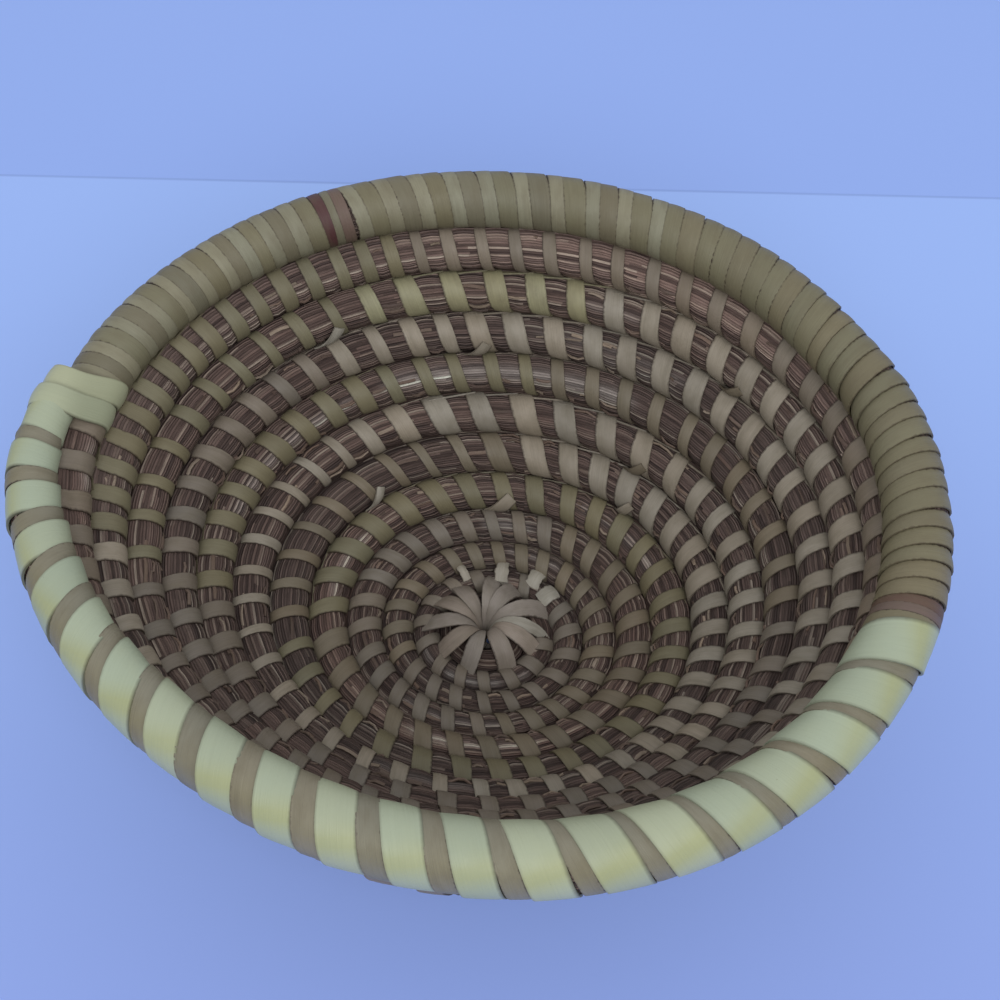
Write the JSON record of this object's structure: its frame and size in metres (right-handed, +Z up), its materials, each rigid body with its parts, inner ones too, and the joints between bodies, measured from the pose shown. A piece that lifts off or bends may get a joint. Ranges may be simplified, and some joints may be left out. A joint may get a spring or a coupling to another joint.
{
  "type": "coiled basket",
  "caption": "Open round bowl of coiled sweetgrass: one spiral grass bundle sewn with leaf strips, a petal rosette at the centre and a thick wrapped rim.",
  "frame": {"origin": "on the ground under the middle of the rim", "axes": "+Z points up out of the bowl; seen from above, the spiral runs clockwise outwards and its rim's tapered tail lies at -X and a little +Y"},
  "size_m": [0.2051, 0.1859, 0.0926],
  "materials": {
    "grass": "dull dry grass",
    "tan": "matt dry leaf",
    "olive": "satin dry leaf",
    "grey": "matt weathered leaf",
    "cream": "satin peeled leaf",
    "straw": "satin peeled leaf",
    "pale": "satin fresh leaf",
    "red": "matt dyed leaf",
    "brown": "matt dry leaf"
  },
  "bodies": {
    "root": {"centre_rosette": "cream", "grass_coil": "grass", "rim_binding": "pale", "rim_wrap_back": "olive", "rim_wrap_brown": "brown", "rim_wrap_left": "olive", "rim_wrap_mark": "red", "rim_wrap_pale": "pale", "rim_wrap_right": "tan", "rim_wrap_tan": "tan", "strip_01_grey": "grey", "strip_02_tan": "tan", "strip_03_grey": "grey", "strip_04_tan": "tan", "strip_05_olive": "olive", "strip_06_tan": "tan", "strip_07_cream": "cream", "strip_08_cream": "cream", "strip_09_grey": "grey", "strip_10_olive": "olive", "strip_11_tan": "tan", "strip_12_grey": "grey", "strip_13_cream": "cream", "strip_14_grey": "grey", "strip_15_olive": "olive", "strip_16_straw": "straw", "strip_17_cream": "cream", "strip_18_olive": "olive", "strip_19_tan": "tan", "strip_20_grey": "grey"}
  },
  "joints": []
}
